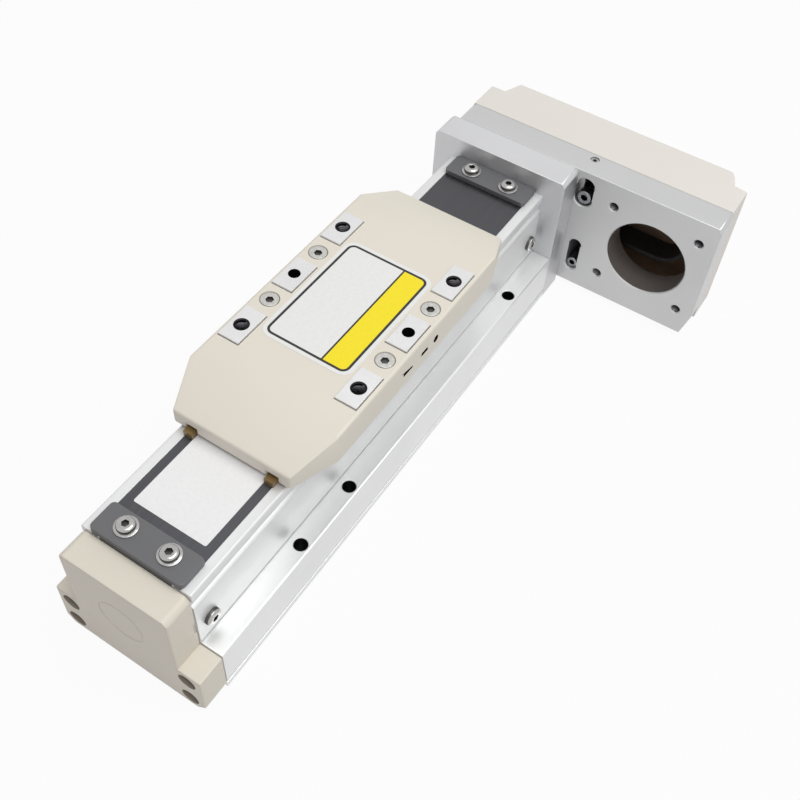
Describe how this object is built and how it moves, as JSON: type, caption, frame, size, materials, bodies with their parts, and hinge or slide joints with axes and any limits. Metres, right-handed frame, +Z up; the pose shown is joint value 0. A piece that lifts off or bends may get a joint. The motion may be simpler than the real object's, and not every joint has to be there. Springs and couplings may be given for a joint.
{
  "type": "ball screw linear module",
  "caption": "Closed ball screw slide with a steel strip seal, a padded slider table and a belt housing folded beside the far end for a flange-mounted motor.",
  "frame": {"origin": "centre of the base extrusion's underside, on the plane that the module is bolted to", "axes": "+X along the module towards the motor end, +Y to its left (the motor mount hangs out to -Y), +Z up from the mounting plane to the slider"},
  "size_m": [0.2435, 0.1071, 0.0597],
  "materials": {
    "base_metal": "satin clear anodised",
    "cover_metal": "satin clear anodised",
    "block_metal": "fine machined",
    "plate_metal": "satin clear anodised",
    "table_metal": "fine machined",
    "pulley_metal": "machined",
    "rail_steel": "ground",
    "strip_steel": "dark rolled",
    "clamp_steel": "dark grey satin",
    "screw_steel": "bright",
    "dark_screw": "black oxide",
    "bearing_steel": "polished",
    "nut_steel": "ground",
    "carriage_steel": "ground",
    "thread_steel": "polished ground",
    "magnet": "flexible magnet",
    "rubber": "matt",
    "belt_rubber": "matt",
    "cap_plastic": "fine texture",
    "belt_plastic": "fine texture",
    "slider_plastic": "fine texture",
    "shoe_plastic": "translucent amber",
    "brass": "turned"
  },
  "bodies": {
    "base": {"base_profile": "base_metal", "rail_left": "rail_steel", "rail_right": "rail_steel", "side_cover_left": "cover_metal", "side_cover_right": "cover_metal", "side_cover_screws": "screw_steel", "magnet_strips": "magnet", "cover_strip": "strip_steel", "strip_clamp_near": "clamp_steel", "strip_clamp_far": "clamp_steel", "clamp_screws": "screw_steel", "idle_block": "block_metal", "idle_bearing": "bearing_steel", "end_cap": "cap_plastic", "end_cap_screws": "screw_steel", "bearing_block": "block_metal", "bearing_block_screws": "screw_steel", "fixed_bearings": "bearing_steel", "bearing_retainer": "nut_steel", "bumper_near": "rubber", "bumper_far": "rubber", "motor_plate": "plate_metal", "motor_plate_screws": "screw_steel", "slot_screw_upper": "screw_steel", "slot_screw_lower": "screw_steel", "tension_set_screw": "dark_screw", "timing_belt": "belt_rubber", "belt_cover": "belt_plastic", "belt_cover_screws": "screw_steel"},
    "carriage": {"slider_block": "carriage_steel", "ball_nut": "nut_steel", "nut_screws": "screw_steel", "slider_table": "table_metal", "table_screws": "screw_steel", "slider_cover": "slider_plastic", "slider_cover_screws": "screw_steel", "grease_nipple": "brass", "strip_shoes_near": "shoe_plastic", "strip_shoes_far": "shoe_plastic", "end_wipers": "rubber"},
    "screw": {"ball_screw": "thread_steel", "lock_nut": "nut_steel", "screw_pulley": "pulley_metal", "pulley_set_screw": "dark_screw", "idle_bearing_inner": "bearing_steel", "fixed_bearings_inner": "bearing_steel"}
  },
  "joints": [
    {"name": "carriage_slide", "type": "slide", "parent": "base", "child": "carriage", "axis": [1, 0, 0], "range_m": [-0.028, 0.022], "deforming": ["cover_strip"]},
    {"name": "screw_spin", "type": "hinge", "parent": "base", "child": "screw", "pos_m": [0, 0, 0.029], "axis": [1, 0, 0], "range_deg": [-800, 1020]}
  ],
  "couplings": [
    {"joint": "screw_spin", "follows": "carriage_slide", "rad_per_m": -628.32}
  ]
}
